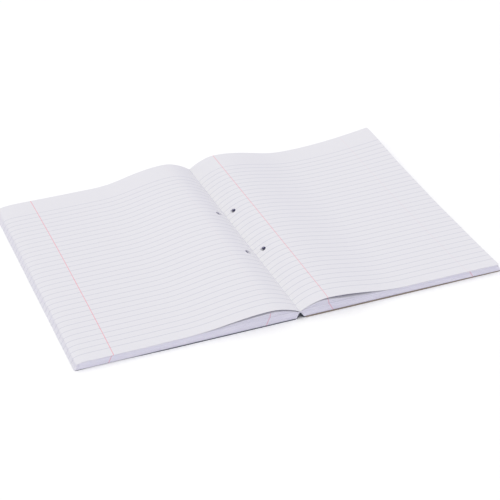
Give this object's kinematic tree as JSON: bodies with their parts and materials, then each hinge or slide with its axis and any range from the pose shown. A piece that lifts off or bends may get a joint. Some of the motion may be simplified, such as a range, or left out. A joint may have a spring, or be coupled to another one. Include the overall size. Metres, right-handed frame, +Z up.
{
  "type": "refill pad",
  "caption": "A4 side-glued, two-hole punched ruled refill pad lying open at its middle, with a card cover, a board back and leaves that turn.",
  "frame": {"origin": "on the table, under the gutter, halfway along the pages", "axes": "+X across the open spread towards the right page's fore-edge, +Y towards the head of the pages, +Z up"},
  "size_m": [0.428, 0.297, 0.0195],
  "materials": {
    "paper": "uncoated",
    "cover_card": "coated card",
    "greyboard": "plain board",
    "padding_glue": "dried white glue"
  },
  "bodies": {
    "right_half": {"right_spine_wrap": "cover_card", "right_glue": "padding_glue", "right_lower_leaves_1": "paper", "right_lower_leaves_2": "paper", "right_lower_leaves_3": "paper", "right_lower_leaves_4": "paper", "right_lower_leaves_5": "paper", "right_upper_leaves_1": "paper", "right_upper_leaves_2": "paper", "right_upper_leaves_3": "paper"},
    "left_half": {"left_spine_wrap": "cover_card", "left_glue": "padding_glue", "left_lower_leaves_1": "paper", "left_lower_leaves_2": "paper", "left_lower_leaves_3": "paper", "left_lower_leaves_4": "paper", "left_lower_leaves_5": "paper", "left_upper_leaves_1": "paper", "left_upper_leaves_2": "paper", "left_upper_leaves_3": "paper"},
    "front_cover": {"front_cover": "cover_card"},
    "back_board": {"back_board": "greyboard"},
    "left_top_leaf": {"left_top_leaf": "paper"},
    "right_top_leaf": {"right_top_leaf": "paper"}
  },
  "joints": [
    {"name": "close_pad", "type": "hinge", "parent": "right_half", "child": "left_half", "pos_m": [0, 0, 0.0086], "axis": [0, 1, 0], "range_deg": [0, 180], "deforming": ["left_upper_leaves_1", "left_upper_leaves_2", "left_upper_leaves_3", "right_upper_leaves_1", "right_upper_leaves_2", "right_upper_leaves_3", "left_top_leaf", "right_top_leaf"]},
    {"name": "turn_right_leaf", "type": "hinge", "parent": "right_half", "child": "right_top_leaf", "pos_m": [0, 0, 0.0086], "axis": [0, -1, 0], "range_deg": [0, 120]},
    {"name": "turn_left_leaf", "type": "hinge", "parent": "left_half", "child": "left_top_leaf", "pos_m": [0, 0, 0.0086], "axis": [0, -1, 0], "range_deg": [-120, 0]},
    {"name": "fold_front_cover", "type": "hinge", "parent": "left_half", "child": "front_cover", "pos_m": [-0.0036, 0, 0], "axis": [0, 1, 0], "range_deg": [-170, 0]},
    {"name": "fold_back_board", "type": "hinge", "parent": "right_half", "child": "back_board", "pos_m": [0.0036, 0, 0], "axis": [0, 1, 0], "range_deg": [0, 170]}
  ]
}
